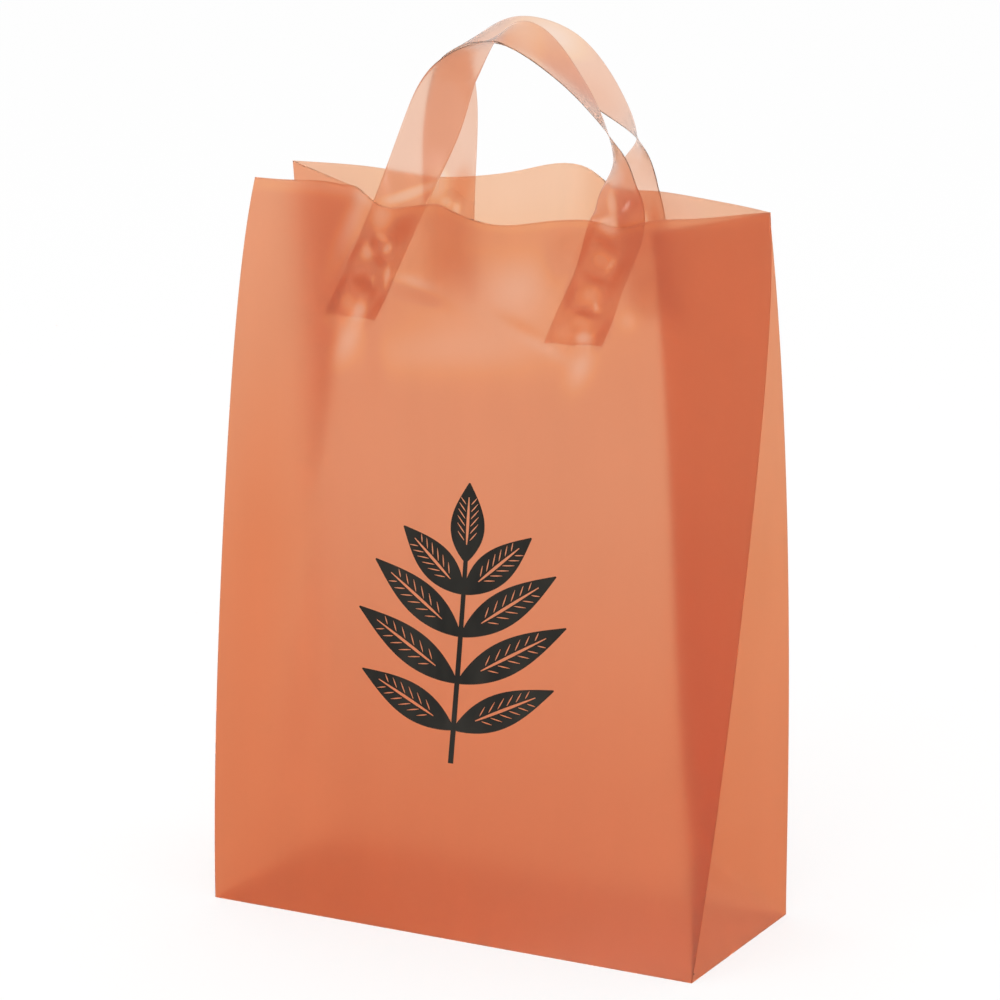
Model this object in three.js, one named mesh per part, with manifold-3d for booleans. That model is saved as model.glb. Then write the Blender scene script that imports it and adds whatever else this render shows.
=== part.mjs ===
// A frosted plastic carrier bag with two soft loop handles, standing open and empty.
// Millimetres, +Z up, the front panel towards -Y. The origin is the middle of the base, on the
// surface that the bag stands on.
import * as THREE from 'three';
import { mergeVertices } from 'three/addons/utils/BufferGeometryUtils.js';
import Module from 'manifold-3d';

// The film tube, as it is made: two panels and two gussets, sealed across the bottom.
const panelWidth = 305;
const gussetWidth = 127;
const panelHeight = 427;
const filmThickness = 0.6;

// How the open bag stands. The mouth of each side is the gap between its front and back folds.
const leftMouth = 75;
const rightMouth = 5;
const leftClosing = 2;
const rightClosing = 0.9;
const leftCentreAtHalf = -8.5;
const leftCentreAtRim = -29;
const rightCentreAtHalf = 17;
const rightCentreAtRim = -8.5;

// The panels sway to the right and belly out towards the rim.
const frontSway = 26;
const backSway = 14.5;
const swayPower = 1.75;
const frontBelly = 40;
const backBelly = 13;
const bellyPower = 4.4;
const frontBellySkew = 0.45;
const backBellySkew = 0.42;

// Between the two welds the back rim is pushed out in a small bump.
const backBump = 12;
const backBumpPlace = 0.56;
const backBumpWidth = 0.13;
const backBumpPower = 7;

// The slack film of a gusset lets its crease hang this much lower at the rim.
const creaseSag = 6;

// The handles: a flat strap, bent into a loop, whose ends are welded inside the panel. A weld's
// place is measured from the left fold of its panel, at the rim and at the lower end of the weld.
const strapWidth = 32;
const strapThickness = 0.6;
const weldLength = 75;
const weldGap = 0.5;
const frontLeftWeld = { rim: 105, foot: 73 };
const frontRightWeld = { rim: 231, foot: 203 };
const backLeftWeld = { rim: 99, foot: 99 };
const backRightWeld = { rim: 214, foot: 225 };

// How far the middle of each loop's strap rises over the rim, and how far it reaches in from its
// panel's rim over the mouth.
const frontRise = 92;
const backRise = 84;
const frontReach = 26;
const backReach = 13.6;

// Where each loop passes: its shares of the way across from the left leg to the right, of the
// rise and of the reach, and how far its outer edge is turned towards the front.
const frontLoop = [
  { across: 0.07, up: 0.37, inward: 0.58, turn: 26 },
  { across: 0.18, up: 0.76, inward: 0.87, turn: 62 },
  { across: 0.41, up: 1, inward: 1, turn: 106 },
  { across: 0.7, up: 0.76, inward: 0.86, turn: 85 },
  { across: 0.94, up: 0.37, inward: 0.72, turn: 54 },
];
const backLoop = [
  { across: 0.03, up: 0.44, inward: 0.15, turn: 48 },
  { across: 0.09, up: 0.83, inward: 0.56, turn: 88 },
  { across: 0.34, up: 1, inward: 0.96, turn: 109 },
  { across: 0.64, up: 0.92, inward: 1, turn: 118 },
  { across: 0.86, up: 0.62, inward: 0.68, turn: 100 },
  { across: 1.03, up: 0.32, inward: 0.25, turn: 60 },
];

// The print: a leafy sprig in black ink on the outside of the front panel. Each pair of leaves
// has its place on the stem, its share of the longest leaf and its angle from the stem.
const printAcross = 146;
const printFoot = 100;
const stemLength = 122;
const stemWidth = 3.2;
const leafWidth = 19;
const leafTip = 0.4;
const veinWidth = 1.2;
const inkThickness = 0.3;
const inkGap = 0.4;
const leafLength = 72;
const leafPairs = [
  { at: 0.16, share: 0.89, angle: 63 },
  { at: 0.38, share: 1, angle: 58 },
  { at: 0.6, share: 0.92, angle: 53 },
  { at: 0.8, share: 0.72, angle: 46 },
];
const topLeafLength = 46;
const topLeafAt = 0.95;
const veinStart = 0.22;
const veinShare = 0.6;
const leafFullness = 0.85;

// Facets
const panelColumns = 18;
const foldColumns = 4;
const upperRows = 15;
const weldSteps = 8;
const loopSteps = 30;
const strapColumns = 4;
const leafSteps = 9;
const sharpFoldLimit = 3;

const gussetDepth = gussetWidth / 2;

// A bend that is 0 at the base, and has the given values at half height and at the rim.
function bend(t, atHalf, atRim) {
  return (4 * atHalf - atRim) * t + 2 * (atRim - 2 * atHalf) * t * t;
}

// The gap between the front and back folds of one side, at the height fraction t.
function sideGap(t, mouth, closing) {
  return mouth + (gussetWidth - mouth) * (1 - Math.pow(t, closing));
}

// One panel's section in plan at the height fraction t, from its left fold (u = 0) to its right.
function panelPoint(side, t, u) {
  const front = side < 0;
  const halfGapLeft = sideGap(t, leftMouth, leftClosing) / 2;
  const halfGapRight = sideGap(t, rightMouth, rightClosing) / 2;
  const yLeft = bend(t, leftCentreAtHalf, leftCentreAtRim) + side * halfGapLeft;
  const yRight = bend(t, rightCentreAtHalf, rightCentreAtRim) + side * halfGapRight;
  const belly = (front ? frontBelly : backBelly) * Math.pow(t, bellyPower);
  const skew = front ? frontBellySkew : backBellySkew;
  const chord = panelWidth - (8 * belly * belly) / (3 * panelWidth);
  const halfSpan = Math.sqrt(chord * chord - (yRight - yLeft) ** 2) / 2;
  const sway = (front ? frontSway : backSway) * Math.pow(t, swayPower);
  const bulge = belly * 4 * u * (1 - u) * (1 + skew * (2 * u - 1));
  const offBump = (u - backBumpPlace) / backBumpWidth;
  const bump = front ? 0 : backBump * Math.pow(t, backBumpPower) * Math.exp(-offBump * offBump);
  return new THREE.Vector2(
    sway + halfSpan * (2 * u - 1),
    yLeft + (yRight - yLeft) * u + side * (bulge + bump)
  );
}

// Film lengths of the rows: even ones through the triangles at the foot of the gussets, then
// even ones up to the rim.
function rowHeights() {
  const rows = [];
  for (let j = 0; j <= foldColumns; j++) rows.push((gussetDepth * j) / foldColumns);
  const rest = panelHeight - gussetDepth;
  for (let j = 1; j <= upperRows; j++) rows.push(gussetDepth + (rest * j) / upperRows);
  return rows;
}

// The film doesn't stretch, so a line of film that moves sideways from row to row rises less.
function stack(plan, rows, startZ) {
  let z = startZ;
  return plan.map((p, j) => {
    if (j > 0) {
      const run = p.distanceTo(plan[j - 1]);
      const film = rows[j] - rows[j - 1];
      z += Math.sqrt(Math.max(film * film - run * run, 0.01 * film * film));
    }
    return new THREE.Vector3(p.x, p.y, z);
  });
}

// Grid of panel points [row][column], columns from left to right.
function panelGrid(side, rows) {
  const lines = [];
  for (let i = 0; i <= panelColumns; i++) {
    const plan = rows.map((v) => panelPoint(side, v / panelHeight, i / panelColumns));
    lines.push(stack(plan, rows, 0));
  }
  return rows.map((v, j) => lines.map((line) => line[j]));
}

// The inward crease of a gusset from its apex to the rim. It lies one gusset depth from both folds,
// and where they nearly meet it lies midway between the two panels.
function creaseLine(frontFold, backFold, frontNext, backNext, rows) {
  const plan = [];
  for (let j = foldColumns; j < rows.length; j++) {
    const a = new THREE.Vector2(frontFold[j].x, frontFold[j].y);
    const b = new THREE.Vector2(backFold[j].x, backFold[j].y);
    const gap = b.distanceTo(a);
    const inwardFront = new THREE.Vector2(frontNext[j].x - a.x, frontNext[j].y - a.y).normalize();
    const inwardBack = new THREE.Vector2(backNext[j].x - b.x, backNext[j].y - b.y).normalize();
    const between = inwardFront.add(inwardBack).normalize();
    const across = new THREE.Vector2(b.y - a.y, a.x - b.x).normalize();
    if (across.dot(between) < 0) across.negate();
    const share = gap / (gap + gussetWidth / 10);
    const inward = between.lerp(across, share).normalize();
    const depth = Math.sqrt(Math.max(gussetDepth ** 2 - (gap / 2) ** 2, 1));
    plan.push(a.add(b).multiplyScalar(0.5).addScaledVector(inward, depth));
  }
  const apexGap = backFold[foldColumns].distanceTo(frontFold[foldColumns]);
  const line = stack(plan, rows.slice(foldColumns), apexGap / 2);
  line.forEach((p, i) => { p.z -= creaseSag * (i / (line.length - 1)) ** 2; });
  return line;
}

// Grid of gusset points [row][column], columns from the front fold over the crease to the back
// fold. Below the apex, the foot of the gusset is a flat triangle that leans in from the base
// edge, between two flanks.
function gussetGrid(frontFold, backFold, frontNext, backNext, rows) {
  const m = foldColumns;
  const crease = creaseLine(frontFold, backFold, frontNext, backNext, rows);
  const apex = crease[0];
  const baseMiddle = frontFold[0].clone().lerp(backFold[0], 0.5);
  const rise = apex.clone().sub(baseMiddle);
  return rows.map((v, j) => {
    const half = (fold) => {
      const points = [];
      for (let k = 0; k <= m; k++) {
        if (j >= m) {
          points.push(fold[j].clone().lerp(crease[j - m], k / m));
        } else if (k > j) {
          const foot = fold[0].clone().lerp(baseMiddle, k / m);
          points.push(foot.addScaledVector(rise, j / m));
        } else {
          const onCrease = fold[0].clone().lerp(apex, j / m);
          points.push(fold[j].clone().lerp(onCrease, j === 0 ? 0 : k / j));
        }
      }
      return points;
    };
    const front = half(frontFold);
    const back = half(backFold);
    return front.concat(back.slice(0, m).reverse());
  });
}

// The whole tube as rows of a closed loop, anticlockwise seen from above, and its panels.
function tubeRows() {
  const rows = rowHeights();
  const front = panelGrid(-1, rows);
  const back = panelGrid(1, rows);
  const column = (grid, i) => grid.map((row) => row[i]);
  const n = panelColumns;
  const right = gussetGrid(column(front, n), column(back, n), column(front, n - 1),
    column(back, n - 1), rows);
  const left = gussetGrid(column(front, 0), column(back, 0), column(front, 1),
    column(back, 1), rows);
  return rows.map((v, j) => [
    ...front[j],
    ...right[j].slice(1, -1),
    ...back[j].slice().reverse(),
    ...left[j].slice(1, -1).reverse(),
  ]);
}

// A loop moved inward in plan by the distance given, with its sharp folds cut short.
function insetLoop(loop, distance) {
  const count = loop.length;
  return loop.map((p, i) => {
    const before = loop[(i + count - 1) % count];
    const after = loop[(i + 1) % count];
    const a = new THREE.Vector2(p.x - before.x, p.y - before.y).normalize();
    const b = new THREE.Vector2(after.x - p.x, after.y - p.y).normalize();
    const normal = new THREE.Vector2(-a.y - b.y, a.x + b.x);
    const length = normal.length();
    const mitre = Math.min(2 / Math.max(length, 0.001), sharpFoldLimit);
    normal.multiplyScalar((distance * mitre) / Math.max(length, 0.001));
    return new THREE.Vector3(p.x + normal.x, p.y + normal.y, p.z);
  });
}

// Adds triangles for the band between two loops, with the diagonals along the gusset creases.
function addBand(index, lower, upper, count, flip, slants) {
  for (let i = 0; i < count; i++) {
    const next = (i + 1) % count;
    const a = lower + i;
    const b = lower + next;
    const c = upper + next;
    const d = upper + i;
    const quads = slants(i) ? [a, b, c, a, c, d] : [a, b, d, b, c, d];
    for (let k = 0; k < 6; k += 3) {
      if (flip) index.push(quads[k], quads[k + 2], quads[k + 1]);
      else index.push(quads[k], quads[k + 1], quads[k + 2]);
    }
  }
}

const tubeOutside = tubeRows();
const tubeInside = tubeOutside.map((loop) => insetLoop(loop, filmThickness));
tubeInside[0].forEach((p) => { p.z = filmThickness; });

// The bag body: a closed wall of film, open at the mouth, with a flat base.
function bagBody() {
  const outer = tubeOutside;
  const inner = tubeInside;
  const count = outer[0].length;
  const points = [...outer.flat(), ...inner.flat()];
  const innerStart = outer.length * count;
  const index = [];
  const n = panelColumns;
  const m = foldColumns;
  const slants = (i) => {
    const inRight = i >= n && i < n + 2 * m;
    const inLeft = i >= 2 * n + 2 * m;
    if (inRight) return i - n < m;
    if (inLeft) return i - 2 * n - 2 * m < m;
    return i < n / 2 || i > n + 2 * m + n / 2;
  };
  for (let j = 0; j + 1 < outer.length; j++) {
    addBand(index, j * count, (j + 1) * count, count, false, slants);
    addBand(index, innerStart + j * count, innerStart + (j + 1) * count, count, true, slants);
  }
  const top = (outer.length - 1) * count;
  addBand(index, top, innerStart + top, count, false, slants);
  addBase(index, 0, true);
  addBase(index, innerStart, false);
  return solid(points, index);
}

// The rectangle of the base: strips between the front and back edges, whose last one at each end
// fans out to the points along the side edge.
function addBase(index, start, faceDown) {
  const n = panelColumns;
  const side = 2 * foldColumns;
  const count = 2 * n + 2 * side;
  const backAt = (i) => 2 * n + side - i;
  const triangles = [[1, backAt(1), backAt(0)], [n - 1, backAt(n), backAt(n - 1)]];
  for (let i = 1; i < n - 1; i++) {
    triangles.push([i, i + 1, backAt(i)], [i + 1, backAt(i + 1), backAt(i)]);
  }
  for (let k = 0; k < side; k++) {
    triangles.push([n - 1, n + k, n + k + 1]);
    triangles.push([1, backAt(0) + k, (backAt(0) + k + 1) % count]);
  }
  triangles.forEach(([a, b, c]) => {
    if (faceDown) index.push(start + a, start + c, start + b);
    else index.push(start + a, start + b, start + c);
  });
}

// A point on a face of a panel, at a film distance from its left fold and up from the base edge,
// moved off the film by the distance given. Past the rim the panel is carried on straight.
function offPanel(faces, side, along, up, off) {
  const rows = rowHeights();
  let j = 0;
  while (j < rows.length - 2 && rows[j + 1] < up) j++;
  const g = (up - rows[j]) / (rows[j + 1] - rows[j]);
  const place = (along / panelWidth) * panelColumns;
  const i = Math.min(Math.max(Math.floor(place), 0), panelColumns - 1);
  const f = place - i;
  const at = (row, column) => {
    const backColumn = 2 * panelColumns + 2 * foldColumns - column;
    return faces[row][side < 0 ? column : backColumn];
  };
  const low = at(j, i).clone().lerp(at(j, i + 1), f);
  const high = at(j + 1, i).clone().lerp(at(j + 1, i + 1), f);
  const rightward = at(j, i + 1).clone().sub(at(j, i));
  const upward = high.clone().sub(low);
  const frontward = new THREE.Vector3().crossVectors(rightward, upward).normalize();
  const away = faces === tubeOutside ? -side : side;
  return low.lerp(high, g).addScaledVector(frontward, away * off);
}

// The points across a strap at a weld, on the panel's inner face, at a distance from the weld's
// foot. The weld slants with the line from its foot to the rim.
function weldStation(side, weld, distance) {
  const slant = Math.atan2(weld.rim - weld.foot, weldLength);
  const off = weldGap + strapThickness / 2;
  const points = [];
  for (let c = 0; c <= strapColumns; c++) {
    const w = strapWidth * (c / strapColumns - 0.5);
    const along = weld.foot + distance * Math.sin(slant) + w * Math.cos(slant);
    const up = panelHeight - weldLength + distance * Math.cos(slant) - w * Math.sin(slant);
    points.push(offPanel(tubeInside, side, along, up, off));
  }
  return points;
}

// The two directions across a strap that runs along the tangent given: outward in the loop's own
// plane, and towards the front. A strap's turn is the angle of its width from one to the other.
function frameOf(tangent) {
  const outward = new THREE.Vector3(0, 1, 0).cross(tangent).negate().normalize();
  const forward = new THREE.Vector3().crossVectors(outward, tangent).normalize();
  if (forward.y > 0) forward.negate();
  return { outward, forward };
}

// The middle surface of one handle: rows of points across the strap, from the foot of its left
// weld over the loop to the foot of its right weld.
function strapRows(side, leftWeld, rightWeld, rise, reach, loop) {
  const weldRun = (weld) => Math.hypot(weldLength, weld.rim - weld.foot);
  const weldRows = (weld) => {
    const rows = [];
    for (let i = 0; i <= weldSteps; i++) {
      rows.push(weldStation(side, weld, (weldRun(weld) * i) / weldSteps));
    }
    return rows;
  };
  const left = weldRows(leftWeld);
  const right = weldRows(rightWeld).map((row) => row.slice().reverse());
  const middle = (row) => row[0].clone().lerp(row[strapColumns], 0.5);
  const rootLeft = middle(left[weldSteps]);
  const rootRight = middle(right[weldSteps]);
  const path = [middle(left[weldSteps - 2]), rootLeft];
  loop.forEach((stop) => {
    const p = rootLeft.clone().lerp(rootRight, stop.across);
    path.push(new THREE.Vector3(p.x, p.y - side * reach * stop.inward, p.z + rise * stop.up));
  });
  path.push(rootRight, middle(right[weldSteps - 2]));
  const curve = new THREE.CatmullRomCurve3(path, false, 'centripetal');
  const last = path.length - 1;
  const turnAt = (row, t) => {
    const { outward, forward } = frameOf(curve.getTangent(t));
    const width = row[0].clone().sub(row[strapColumns]);
    return Math.atan2(width.dot(forward), width.dot(outward));
  };
  const turns = [
    turnAt(left[weldSteps], 1 / last),
    ...loop.map((stop) => THREE.MathUtils.degToRad(stop.turn)),
    turnAt(right[weldSteps], (last - 1) / last),
  ];
  const turnCurve = new THREE.SplineCurve(turns.map((turn, i) => new THREE.Vector2(i, turn)));
  const rows = [...left];
  for (let s = 1; s < loopSteps; s++) {
    const share = s / loopSteps;
    const t = (1 + share * (last - 2)) / last;
    const turn = turnCurve.getPoint(share).y;
    const { outward, forward } = frameOf(curve.getTangent(t));
    const across = outward.multiplyScalar(Math.cos(turn)).addScaledVector(forward, Math.sin(turn));
    const centre = curve.getPoint(t);
    const row = [];
    for (let c = 0; c <= strapColumns; c++) {
      row.push(centre.clone().addScaledVector(across, strapWidth * (0.5 - c / strapColumns)));
    }
    rows.push(row);
  }
  return [...rows, ...right.reverse()];
}

// A strap: its middle surface thickened to both sides.
function strap(rows) {
  const across = strapColumns + 1;
  const normalAt = (s, c) => {
    const along = rows[Math.min(s + 1, rows.length - 1)][c].clone();
    along.sub(rows[Math.max(s - 1, 0)][c]);
    const over = rows[s][Math.min(c + 1, strapColumns)].clone();
    over.sub(rows[s][Math.max(c - 1, 0)]);
    return along.cross(over).normalize();
  };
  const face = (sign) => rows.flatMap((row, s) => row.map((p, c) => (
    p.clone().addScaledVector(normalAt(s, c), (sign * strapThickness) / 2))));
  const points = [...face(1), ...face(-1)];
  const under = rows.length * across;
  const index = [];
  const quad = (a, b, c, d) => index.push(a, b, c, a, c, d);
  for (let s = 0; s + 1 < rows.length; s++) {
    for (let c = 0; c < strapColumns; c++) {
      const a = s * across + c;
      quad(a, a + across, a + across + 1, a + 1);
      quad(under + a, under + a + 1, under + a + across + 1, under + a + across);
    }
    const left = s * across;
    const right = left + strapColumns;
    quad(left, under + left, under + left + across, left + across);
    quad(right, right + across, under + right + across, under + right);
  }
  const end = (rows.length - 1) * across;
  for (let c = 0; c < strapColumns; c++) {
    quad(c, c + 1, under + c + 1, under + c);
    quad(end + c, under + end + c, under + end + c + 1, end + c + 1);
  }
  return solid(points, index);
}

function solid(points, index) {
  const geometry = new THREE.BufferGeometry().setFromPoints(points);
  geometry.setIndex(index);
  geometry.computeVertexNormals();
  return geometry;
}

// A leaf of the print in the flat, as a closed slab from its foot to its tip. Its outline is two
// arcs, and it stands at the angle given from the stem.
function leafSlab(foot, length, angle, width) {
  const points = [];
  const lean = THREE.MathUtils.degToRad(angle);
  const place = (s, w, depth) => new THREE.Vector3(
    foot.x + s * Math.sin(lean) + w * Math.cos(lean),
    foot.y + s * Math.cos(lean) - w * Math.sin(lean),
    depth
  );
  for (let i = 0; i <= leafSteps; i++) {
    const share = i / leafSteps;
    const w = (width / 2) * Math.sin(Math.PI * Math.pow(share, leafFullness)) + leafTip;
    [-w, 0, w].forEach((v) => points.push(place(share * length, v, 0)));
  }
  return slab(points, leafSteps + 1, 3);
}

// A flat slab over a grid of points, rows by columns, as thick as the ink.
function slab(points, rows, columns) {
  const upper = points.map((p) => new THREE.Vector3(p.x, p.y, inkThickness));
  const all = [...points, ...upper];
  const up = points.length;
  const index = [];
  const quad = (a, b, c, d) => index.push(a, b, c, a, c, d);
  for (let r = 0; r + 1 < rows; r++) {
    for (let c = 0; c + 1 < columns; c++) {
      const a = r * columns + c;
      quad(up + a, up + a + 1, up + a + columns + 1, up + a + columns);
      quad(a, a + columns, a + columns + 1, a + 1);
    }
    const left = r * columns;
    const right = left + columns - 1;
    quad(left, up + left, up + left + columns, left + columns);
    quad(right, right + columns, up + right + columns, up + right);
  }
  const last = (rows - 1) * columns;
  for (let c = 0; c + 1 < columns; c++) {
    quad(c, c + 1, up + c + 1, up + c);
    quad(last + c, up + last + c, up + last + c + 1, last + c + 1);
  }
  return solid(all, index);
}

const wasm = await Module();
wasm.setup();

function toManifold(geometry) {
  const bare = geometry.clone();
  bare.deleteAttribute('normal');
  const merged = mergeVertices(bare);
  return new wasm.Manifold(new wasm.Mesh({
    numProp: 3,
    vertProperties: new Float32Array(merged.attributes.position.array),
    triVerts: new Uint32Array(merged.index.array),
  }));
}

// The printed sprig: stem and leaves joined in the flat, parted along their veins, and laid on
// the panel.
function printedSprig() {
  const stemPoints = [];
  for (let i = 0; i <= leafSteps; i++) {
    const y = (stemLength * i) / leafSteps;
    [-1, 0, 1].forEach((w) => stemPoints.push(new THREE.Vector3((w * stemWidth) / 2, y, 0)));
  }
  let sprig = toManifold(slab(stemPoints, leafSteps + 1, 3));
  const addLeaf = (at, length, angle) => {
    const foot = new THREE.Vector2(0, at);
    sprig = sprig.add(toManifold(leafSlab(foot, length, angle, leafWidth)));
    const lean = THREE.MathUtils.degToRad(angle);
    const start = foot.addScaledVector(new THREE.Vector2(Math.sin(lean), Math.cos(lean)),
      length * veinStart);
    const vein = leafSlab(start, length * veinShare, angle, veinWidth);
    vein.scale(1, 1, 3).translate(0, 0, -inkThickness);
    sprig = sprig.subtract(toManifold(vein));
  };
  leafPairs.forEach((pair) => {
    addLeaf(pair.at * stemLength, pair.share * leafLength, pair.angle);
    addLeaf(pair.at * stemLength, pair.share * leafLength, -pair.angle);
  });
  addLeaf(stemLength * topLeafAt, topLeafLength, 0);
  const mesh = sprig.getMesh();
  const points = [];
  for (let i = 0; i < mesh.numVert; i++) {
    const [x, y, depth] = mesh.vertProperties.slice(3 * i, 3 * i + 3);
    points.push(offPanel(tubeOutside, -1, printAcross + x, printFoot + y, inkGap + depth));
  }
  return solid(points, Array.from(mesh.triVerts));
}

function film(colour, roughness, opacity) {
  return new THREE.MeshStandardMaterial({
    color: colour, roughness, metalness: 0, transparent: opacity < 1, opacity,
  });
}

const bag = new THREE.Group();

function addPiece(name, geometry, material) {
  const mesh = new THREE.Mesh(geometry, material);
  mesh.name = name;
  bag.add(mesh);
}

const bodyFilm = film('#dd8a63', 0.5, 0.85);
const strapFilm = film('#e6b096', 0.4, 0.6);
const frontRows = strapRows(-1, frontLeftWeld, frontRightWeld, frontRise, frontReach,
  frontLoop);
const backRows = strapRows(1, backLeftWeld, backRightWeld, backRise, backReach, backLoop);
addPiece('bag_body', bagBody(), bodyFilm);
addPiece('front_handle', strap(frontRows), strapFilm);
addPiece('back_handle', strap(backRows), strapFilm);
addPiece('printed_sprig', printedSprig(), new THREE.MeshStandardMaterial({
  color: '#27241e', roughness: 0.45, metalness: 0,
}));

export default bag;
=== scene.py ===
# A frosted plastic carrier bag with two soft loop handles, standing open and empty.
# Lengths in the shape functions are in millimetres, and the meshes are in metres.
import math

import bpy
import numpy as np
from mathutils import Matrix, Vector
from mathutils.geometry import delaunay_2d_cdt


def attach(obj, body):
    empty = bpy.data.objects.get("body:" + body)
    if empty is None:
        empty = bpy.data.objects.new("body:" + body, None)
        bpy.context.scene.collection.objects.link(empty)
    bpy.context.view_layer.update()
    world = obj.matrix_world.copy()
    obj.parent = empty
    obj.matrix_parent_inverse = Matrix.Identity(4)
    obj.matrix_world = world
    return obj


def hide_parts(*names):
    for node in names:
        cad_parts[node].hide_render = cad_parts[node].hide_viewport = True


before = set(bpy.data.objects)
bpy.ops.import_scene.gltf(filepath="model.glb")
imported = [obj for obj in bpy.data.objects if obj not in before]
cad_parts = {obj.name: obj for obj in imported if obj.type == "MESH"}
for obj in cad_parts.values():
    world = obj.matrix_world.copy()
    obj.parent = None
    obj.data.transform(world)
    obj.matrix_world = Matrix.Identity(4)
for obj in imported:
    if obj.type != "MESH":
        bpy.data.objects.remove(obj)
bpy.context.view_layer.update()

MM = 0.001

# The film tube, as it is made
PANEL_WIDTH = 305.0
GUSSET_WIDTH = 127.0
GUSSET_DEPTH = GUSSET_WIDTH / 2
PANEL_HEIGHT = 427.0
FILM = 0.22
# A cut edge of film is pressed thin, to this share
EDGE_SHARE = 0.15

# How the open bag stands, as in the frame's solids: how wide each gusset is open at the rim, how its gap
# closes on the way up, and how far back its middle lies at half height and at the rim
LEFT_MOUTH, RIGHT_MOUTH = 75.0, 5.0
LEFT_CLOSING, RIGHT_CLOSING = 2.0, 0.9
LEFT_CENTRE = (-8.5, -29.0)
RIGHT_CENTRE = (17.0, -8.5)
# How far the panels lean to the right at the rim
SWAY = {"front": 26.0, "back": 14.5}
SWAY_POWER = 1.75
# How far the panels belly outward at the rim, and how much more so towards the right
BELLY = {"front": 40.0, "back": 13.0}
BELLY_SKEW = {"front": 0.45, "back": 0.42}
BELLY_POWER = 4.4
# The back panel's own bulge, near its middle
BUMP, BUMP_PLACE, BUMP_WIDTH, BUMP_POWER = 12.0, 0.56, 0.13, 7.0
# How far each gusset's crease has slid down at the rim
LEFT_SAG, RIGHT_SAG = 6.0, 2.0
# Where its gap is wider than this, a gusset's crease lies square to it, and else in line with the panels
CLOSED_GAP = GUSSET_WIDTH / 10
# However far film is drawn sideways, the square of its rise is at least this share
LEAST_RISE = 0.01
# A gusset folds in by at least this much
LEAST_DEPTH = 1.0
# Keeps a division from one by nothing
TINY = 1e-9

# The straps
STRAP_WIDTH = 32.0
STRAP_FILM = 0.18
WELD_GAP = 0.35
# Each weld: film places of its middle at the rim and at its foot, its height, and how far it is drawn in
WELDS = {
    "front": (
        {"rim": 105.0, "foot": 71.0, "height": 75.0, "waist": 0.06},
        {"rim": 235.0, "foot": 203.4, "height": 79.0, "waist": 0.17},
    ),
    "back": (
        {"rim": 99.0, "foot": 99.0, "height": 75.0, "waist": 0.05},
        {"rim": 218.0, "foot": 229.0, "height": 75.0, "waist": 0.05},
    ),
}
# Where along a weld it is drawn in most, and how far up and down that reaches, in shares of the weld
WAIST_PLACE, WAIST_REACH = 0.55, 0.3
# The foot of a strap is cut level, and its rows turn square to it over this share of the weld
FOOT_SHARE = 0.6
# How far a loop rises over the rim, and how far it leans in over the mouth
RISE = {"front": 94.5, "back": 86.0}
REACH = {"front": 26.0, "back": 13.6}
# Each stop: shares of the way across, of the rise and of the reach inward, and its turn in degrees
LOOPS = {
    "front": (
        (0.07, 0.37, 0.58, 26.0),
        (0.18, 0.76, 0.87, 62.0),
        (0.41, 1.00, 1.00, 106.0),
        (0.70, 0.76, 0.86, 85.0),
        (0.91, 0.37, 0.72, 54.0),
        (0.955, 0.13, 0.32, 14.0),
    ),
    "back": (
        (0.03, 0.44, 0.15, 48.0),
        (0.09, 0.83, 0.56, 88.0),
        (0.34, 1.00, 0.96, 109.0),
        (0.64, 0.91, 1.00, 118.0),
        (0.87, 0.62, 0.68, 100.0),
        (1.03, 0.32, 0.25, 60.0),
        (1.02, 0.10, 0.20, 20.0),
    ),
}
# Which way along Y a panel faces
SIDE = {"front": -1.0, "back": 1.0}
# Steps across a strap's mesh, and its rows along a weld and round the loop
STRAP_COLUMNS = 20
WELD_ROWS = 54
LOOP_ROWS = 150
# A loop's path starts this many rows below the rim
ROOT_ROWS = WELD_ROWS // 4
# The share of a loop over which it settles into the slant of its welds
SETTLE = 0.13
# How many rows of a strap to either side of the rim are evened out, and how many times
SMOOTH_ROWS, SMOOTH_STEPS = 22, 260
# A short step along a curve, to find its direction, and the least length of one of its stretches
STEP, LEAST_LEG = 1e-4, 1e-4
# A panel's direction at a fold is taken from its column this far from the fold
BESIDE = 2


def bell(x, centre, width):
    """A smooth bump: 1 at its centre, and 0.37 at its half width to either side."""
    return np.exp(-(((x - centre) / width) ** 2))


def bend(t, at_half, at_rim):
    """0 at the base, with the given values at half height and at the rim."""
    return (4 * at_half - at_rim) * t + 2 * (at_rim - 2 * at_half) * t * t


def side_gap(t, mouth, closing):
    """The gap between the panels at a gusset, which narrows from the base to the mouth."""
    return mouth + (GUSSET_WIDTH - mouth) * (1 - t**closing)


def panel_plan(name, t, u):
    """A panel's place in plan at the height fraction t, from its left fold (u = 0) to its right.

    Its chord is shorter than the film by what the belly takes up, and the belly is a skewed parabola.
    """
    side = SIDE[name]
    y_left = bend(t, *LEFT_CENTRE) + side * side_gap(t, LEFT_MOUTH, LEFT_CLOSING) / 2
    y_right = bend(t, *RIGHT_CENTRE) + side * side_gap(t, RIGHT_MOUTH, RIGHT_CLOSING) / 2
    belly = BELLY[name] * t**BELLY_POWER
    chord = PANEL_WIDTH - 8 * belly**2 / (3 * PANEL_WIDTH)
    half_span = np.sqrt(chord**2 - (y_right - y_left) ** 2) / 2
    x = SWAY[name] * t**SWAY_POWER + half_span * (2 * u - 1)
    bulge = belly * 4 * u * (1 - u) * (1 + BELLY_SKEW[name] * (2 * u - 1))
    bump = 0.0
    if name == "back":
        bump = BUMP * t**BUMP_POWER * bell(u, BUMP_PLACE, BUMP_WIDTH)
    return np.stack([x, y_left + (y_right - y_left) * u + side * (bulge + bump)], -1)


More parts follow.
